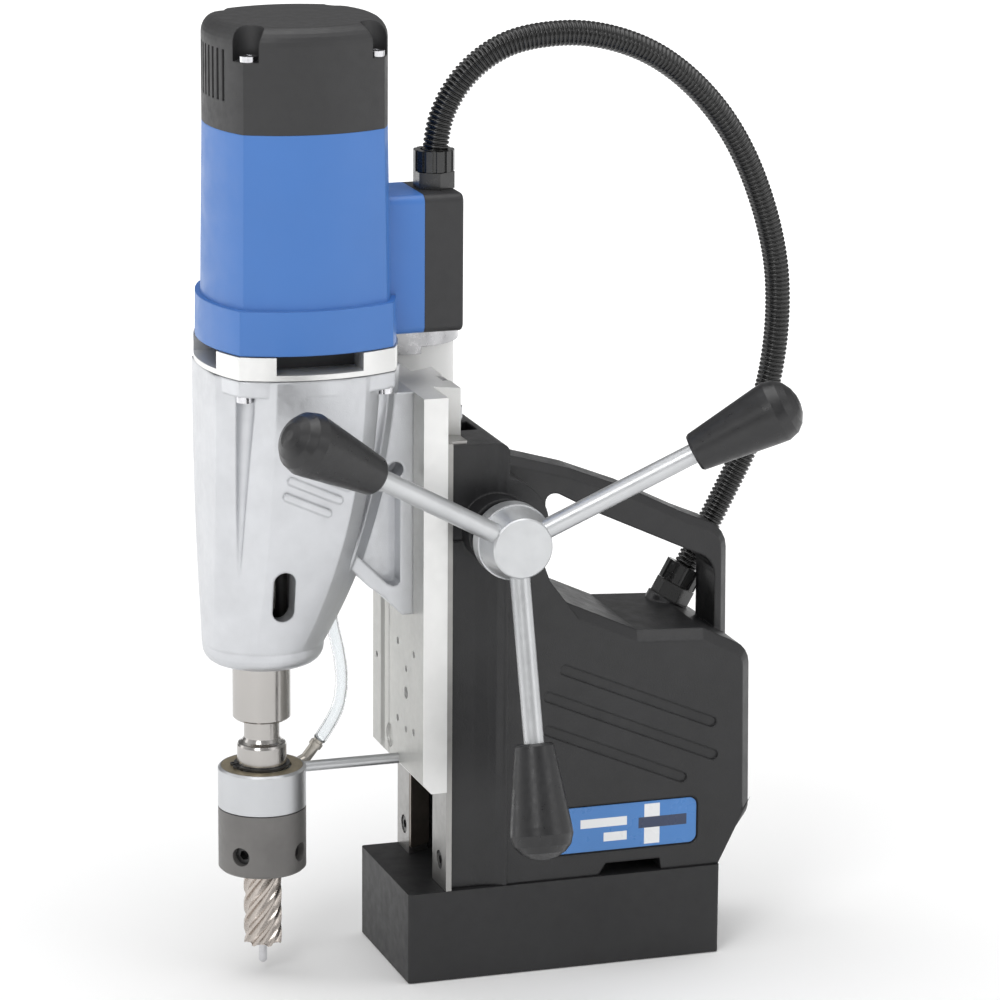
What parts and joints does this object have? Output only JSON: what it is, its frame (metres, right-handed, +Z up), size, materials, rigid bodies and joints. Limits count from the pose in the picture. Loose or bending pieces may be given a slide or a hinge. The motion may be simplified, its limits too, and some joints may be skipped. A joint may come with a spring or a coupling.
{
  "type": "magnetic drill press",
  "caption": "Portable drill press on a magnetic foot: a geared motor head slides on a dovetail column, fed by a three-arm hub, and drives an annular cutter.",
  "frame": {"origin": "centre of the magnet foot's underside", "axes": "+Z up along the column, -Y to the front where the spindle is, +X to the operator's side with the feed arms"},
  "size_m": [0.2202, 0.3046, 0.4682],
  "materials": {
    "foot_black": "matt",
    "coil_resin": "matte",
    "black_paint": "fine textured",
    "label_plate": "satin",
    "rail_steel": "ground",
    "screw_steel": "satin",
    "brass": "satin",
    "board_green": "matte",
    "black_plastic": "fine textured",
    "red_plastic": "gloss",
    "green_plastic": "gloss",
    "clear_plastic": "clear",
    "shaft_steel": "machined",
    "hub_chrome": "satin",
    "knob_plastic": "satin",
    "slide_aluminium": "machined",
    "silver_paint": "metallic",
    "blue_plastic": "satin",
    "laminations": "rough",
    "conduit_black": "gloss",
    "ring_aluminium": "turned",
    "cutter_steel": "ground",
    "spring_steel": "bright",
    "hose_clear": "clear",
    "bottle_white": "translucent"
  },
  "bodies": {
    "stand": {"magnet_foot": "foot_black", "magnet_coil": "coil_resin", "foot_screws": "screw_steel", "stand_housing": "black_paint", "name_plate": "label_plate", "guide_rail_near": "rail_steel", "guide_rail_far": "rail_steel", "stand_screws": "screw_steel", "gib_strip": "brass", "stop_screw": "screw_steel", "circuit_board": "board_green", "switch_panel": "black_plastic", "switch_blocks": "black_plastic", "clear_cover": "clear_plastic", "mains_gland": "black_plastic", "feed_bushes": "brass", "lower_gland": "knob_plastic"},
    "head": {"head_slide": "slide_aluminium", "feed_rack": "shaft_steel", "slide_screws": "screw_steel", "gear_housing": "silver_paint", "gear_case_cover": "slide_aluminium", "gear_case_screws": "screw_steel", "motor_housing": "blue_plastic", "motor_cap": "black_plastic", "cap_screws": "screw_steel", "stator": "laminations", "brush_gear": "laminations", "gear_bearings": "shaft_steel", "switch_box_cover": "black_plastic", "upper_gland": "knob_plastic", "corrugated_conduit": "conduit_black", "coolant_ring": "ring_aluminium", "ring_washer": "brass", "retaining_rod": "hub_chrome", "coolant_nipple": "brass", "coolant_hose": "hose_clear", "coolant_bottle": "bottle_white", "bottle_cap": "black_plastic", "bottle_bracket": "screw_steel"},
    "feed_shaft": {"pinion_shaft": "shaft_steel", "feed_hub": "hub_chrome", "feed_arm_down": "hub_chrome", "feed_arm_front": "hub_chrome", "feed_arm_rear": "hub_chrome", "feed_knob_down": "knob_plastic", "feed_knob_front": "knob_plastic", "feed_knob_rear": "knob_plastic"},
    "spindle": {"spindle": "shaft_steel", "spindle_gear": "shaft_steel", "arbor": "shaft_steel", "arbor_fittings": "screw_steel", "annular_cutter": "cutter_steel", "ejector_spring": "spring_steel"},
    "countershaft": {"counter_gears": "shaft_steel"},
    "armature": {"armature": "laminations"},
    "pilot": {"pilot_pin": "screw_steel"},
    "rocker": {"magnet_rocker": "red_plastic"},
    "start_button": {"start_button": "green_plastic"},
    "stop_button": {"stop_button": "red_plastic"}
  },
  "joints": [
    {"name": "head_slide", "type": "slide", "parent": "stand", "child": "head", "axis": [0, 0, 1], "range_m": [-0.048, 0.11], "deforming": ["corrugated_conduit"]},
    {"name": "feed_turn", "type": "hinge", "parent": "stand", "child": "feed_shaft", "pos_m": [0.06, -0.0362, 0.2245], "axis": [-1, 0, 0], "range_deg": [-246, 562]},
    {"name": "spindle_turn", "type": "hinge", "parent": "head", "child": "spindle", "pos_m": [0, -0.142, 0.1], "axis": [0, 0, 1], "continuous": true},
    {"name": "countershaft_turn", "type": "hinge", "parent": "head", "child": "countershaft", "pos_m": [-0.01786, -0.1219, 0.27], "axis": [0, 0, 1], "continuous": true},
    {"name": "armature_turn", "type": "hinge", "parent": "head", "child": "armature", "pos_m": [0, -0.124, 0.36], "axis": [0, 0, 1], "continuous": true},
    {"name": "pilot_slide", "type": "slide", "parent": "spindle", "child": "pilot", "axis": [0, 0, 1], "range_m": [0, 0.012], "stiffness_N_per_m": 400, "springref_m": -0.004, "deforming": ["ejector_spring"]},
    {"name": "rocker_tip", "type": "hinge", "parent": "stand", "child": "rocker", "pos_m": [0, 0.0914, 0.124], "axis": [1, 0, 0], "range_deg": [0, 17]},
    {"name": "start_press", "type": "slide", "parent": "stand", "child": "start_button", "axis": [0, -1, 0], "range_m": [0, 0.0015], "stiffness_N_per_m": 600, "springref_m": -0.001},
    {"name": "stop_press", "type": "slide", "parent": "stand", "child": "stop_button", "axis": [0, -1, 0], "range_m": [0, 0.0015], "stiffness_N_per_m": 600, "springref_m": -0.001}
  ],
  "couplings": [
    {"joint": "feed_turn", "follows": "head_slide", "rad_per_m": 88.889},
    {"joint": "countershaft_turn", "follows": "spindle_turn", "ratio": -3.5},
    {"joint": "armature_turn", "follows": "spindle_turn", "ratio": 14.5}
  ]
}
